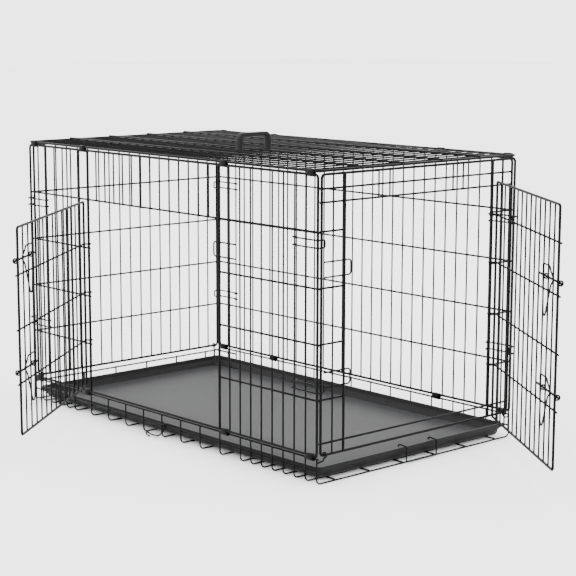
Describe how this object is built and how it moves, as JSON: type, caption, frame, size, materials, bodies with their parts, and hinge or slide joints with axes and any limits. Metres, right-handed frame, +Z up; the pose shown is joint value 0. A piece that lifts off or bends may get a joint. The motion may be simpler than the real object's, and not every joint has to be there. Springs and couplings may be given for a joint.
{
  "type": "wire dog crate",
  "caption": "Folding wire crate for a large dog, with a side door and an end door standing open, slide latches, corner hooks, a plastic tray and a carry handle.",
  "frame": {"origin": "on the ground, on the flat underside of the floor grid's middle cross wire, midway between the long sides", "axes": "+X towards the end with the end door, +Y away from the long side with the side door, +Z up"},
  "size_m": [1.6996, 1.1904, 0.812],
  "materials": {
    "black_steel": "black electro-coat, semi-gloss",
    "clip_steel": "black sheet steel, satin",
    "black_plastic": "moulded black, fine texture"
  },
  "bodies": {
    "crate": {"floor_grid": "black_steel", "front_side": "black_steel", "back_side": "black_steel", "front_end": "black_steel", "roof": "black_steel", "floor_clip_left_1": "clip_steel", "floor_clip_left_2": "clip_steel", "floor_clip_left_3": "clip_steel", "floor_clip_left_4": "clip_steel", "floor_clip_right_1": "clip_steel", "floor_clip_right_2": "clip_steel", "floor_clip_right_3": "clip_steel", "floor_clip_right_4": "clip_steel", "roof_clip_left_1": "clip_steel", "roof_clip_left_2": "clip_steel", "roof_clip_left_3": "clip_steel", "roof_clip_left_4": "clip_steel", "roof_clip_right_1": "clip_steel", "roof_clip_right_2": "clip_steel", "roof_clip_right_3": "clip_steel", "roof_clip_right_4": "clip_steel"},
    "side_door": {"side_door": "black_steel"},
    "end_door": {"end_door": "black_steel"},
    "side_latch_lower": {"side_latch_lower": "black_steel"},
    "side_latch_upper": {"side_latch_upper": "black_steel"},
    "end_latch_lower": {"end_latch_lower": "black_steel"},
    "end_latch_upper": {"end_latch_upper": "black_steel"},
    "back_end": {"back_end": "black_steel"},
    "tray": {"tray": "black_plastic"},
    "tray_clip": {"tray_clip": "black_steel"},
    "fold_hook": {"fold_hook": "black_steel"},
    "carry_handle": {"carry_handle": "black_plastic"},
    "hook_front_left_lower": {"hook_front_left_lower": "black_steel"},
    "hook_front_left_upper": {"hook_front_left_upper": "black_steel"},
    "hook_front_right_lower": {"hook_front_right_lower": "black_steel"},
    "hook_front_right_upper": {"hook_front_right_upper": "black_steel"},
    "hook_back_left_lower": {"hook_back_left_lower": "black_steel"},
    "hook_back_left_upper": {"hook_back_left_upper": "black_steel"},
    "hook_back_right_lower": {"hook_back_right_lower": "black_steel"},
    "hook_back_right_upper": {"hook_back_right_upper": "black_steel"}
  },
  "joints": [
    {"name": "side_door_hinge", "type": "hinge", "parent": "crate", "child": "side_door", "pos_m": [-0.32533, -0.3553, 0.357], "axis": [0, 0, -1], "range_deg": [-51.4, 93.6]},
    {"name": "end_door_hinge", "type": "hinge", "parent": "crate", "child": "end_door", "pos_m": [0.6103, 0.26678, 0.389], "axis": [0, 0, 1], "range_deg": [-56.3, 88.7]},
    {"name": "side_latch_lower_slide", "type": "slide", "parent": "side_door", "child": "side_latch_lower", "axis": [0.6239, -0.7815, 0], "range_m": [0, 0.014]},
    {"name": "end_latch_lower_slide", "type": "slide", "parent": "end_door", "child": "end_latch_lower", "axis": [0.832, -0.5548, 0], "range_m": [0, 0.024]},
    {"name": "side_latch_upper_slide", "type": "slide", "parent": "side_door", "child": "side_latch_upper", "axis": [0.6239, -0.7815, 0], "range_m": [0, 0.014]},
    {"name": "end_latch_upper_slide", "type": "slide", "parent": "end_door", "child": "end_latch_upper", "axis": [0.832, -0.5548, 0], "range_m": [0, 0.024]},
    {"name": "back_end_fold", "type": "hinge", "parent": "crate", "child": "back_end", "pos_m": [-0.61, 0, 0.0715], "axis": [0, -1, 0], "range_deg": [-88, 0]},
    {"name": "tray_slide", "type": "slide", "parent": "crate", "child": "tray", "axis": [1, 0, 0], "range_m": [0, 1]},
    {"name": "tray_clip_swing", "type": "hinge", "parent": "tray", "child": "tray_clip", "pos_m": [0.59437, 0.006, 0.04259], "axis": [0, -1, 0], "range_deg": [0, 25]},
    {"name": "hook_front_left_lower_swing", "type": "hinge", "parent": "crate", "child": "hook_front_left_lower", "pos_m": [0.52867, -0.3553, 0.239], "axis": [0, 0, -1], "range_deg": [0, 100]},
    {"name": "hook_front_left_upper_swing", "type": "hinge", "parent": "crate", "child": "hook_front_left_upper", "pos_m": [0.52867, -0.3553, 0.59], "axis": [0, 0, -1], "range_deg": [0, 100]},
    {"name": "hook_front_right_lower_swing", "type": "hinge", "parent": "crate", "child": "hook_front_right_lower", "pos_m": [0.52867, 0.3553, 0.239], "axis": [0, 0, 1], "range_deg": [0, 100]},
    {"name": "hook_front_right_upper_swing", "type": "hinge", "parent": "crate", "child": "hook_front_right_upper", "pos_m": [0.52867, 0.3553, 0.59], "axis": [0, 0, 1], "range_deg": [0, 100]},
    {"name": "hook_back_left_lower_swing", "type": "hinge", "parent": "crate", "child": "hook_back_left_lower", "pos_m": [-0.52867, -0.3553, 0.239], "axis": [0, 0, 1], "range_deg": [0, 100]},
    {"name": "hook_back_left_upper_swing", "type": "hinge", "parent": "crate", "child": "hook_back_left_upper", "pos_m": [-0.52867, -0.3553, 0.59], "axis": [0, 0, 1], "range_deg": [0, 100]},
    {"name": "hook_back_right_lower_swing", "type": "hinge", "parent": "crate", "child": "hook_back_right_lower", "pos_m": [-0.52867, 0.3553, 0.239], "axis": [0, 0, -1], "range_deg": [0, 100]},
    {"name": "hook_back_right_upper_swing", "type": "hinge", "parent": "crate", "child": "hook_back_right_upper", "pos_m": [-0.52867, 0.3553, 0.59], "axis": [0, 0, -1], "range_deg": [0, 100]},
    {"name": "fold_hook_swing", "type": "hinge", "parent": "crate", "child": "fold_hook", "pos_m": [0.01, -0.35112, 0.033], "axis": [1, 0, 0], "range_deg": [-90, 0]},
    {"name": "carry_handle_swing", "type": "hinge", "parent": "crate", "child": "carry_handle", "pos_m": [0.04067, -0.062, 0.7623], "axis": [0, 1, 0], "range_deg": [-65, 65]}
  ]
}
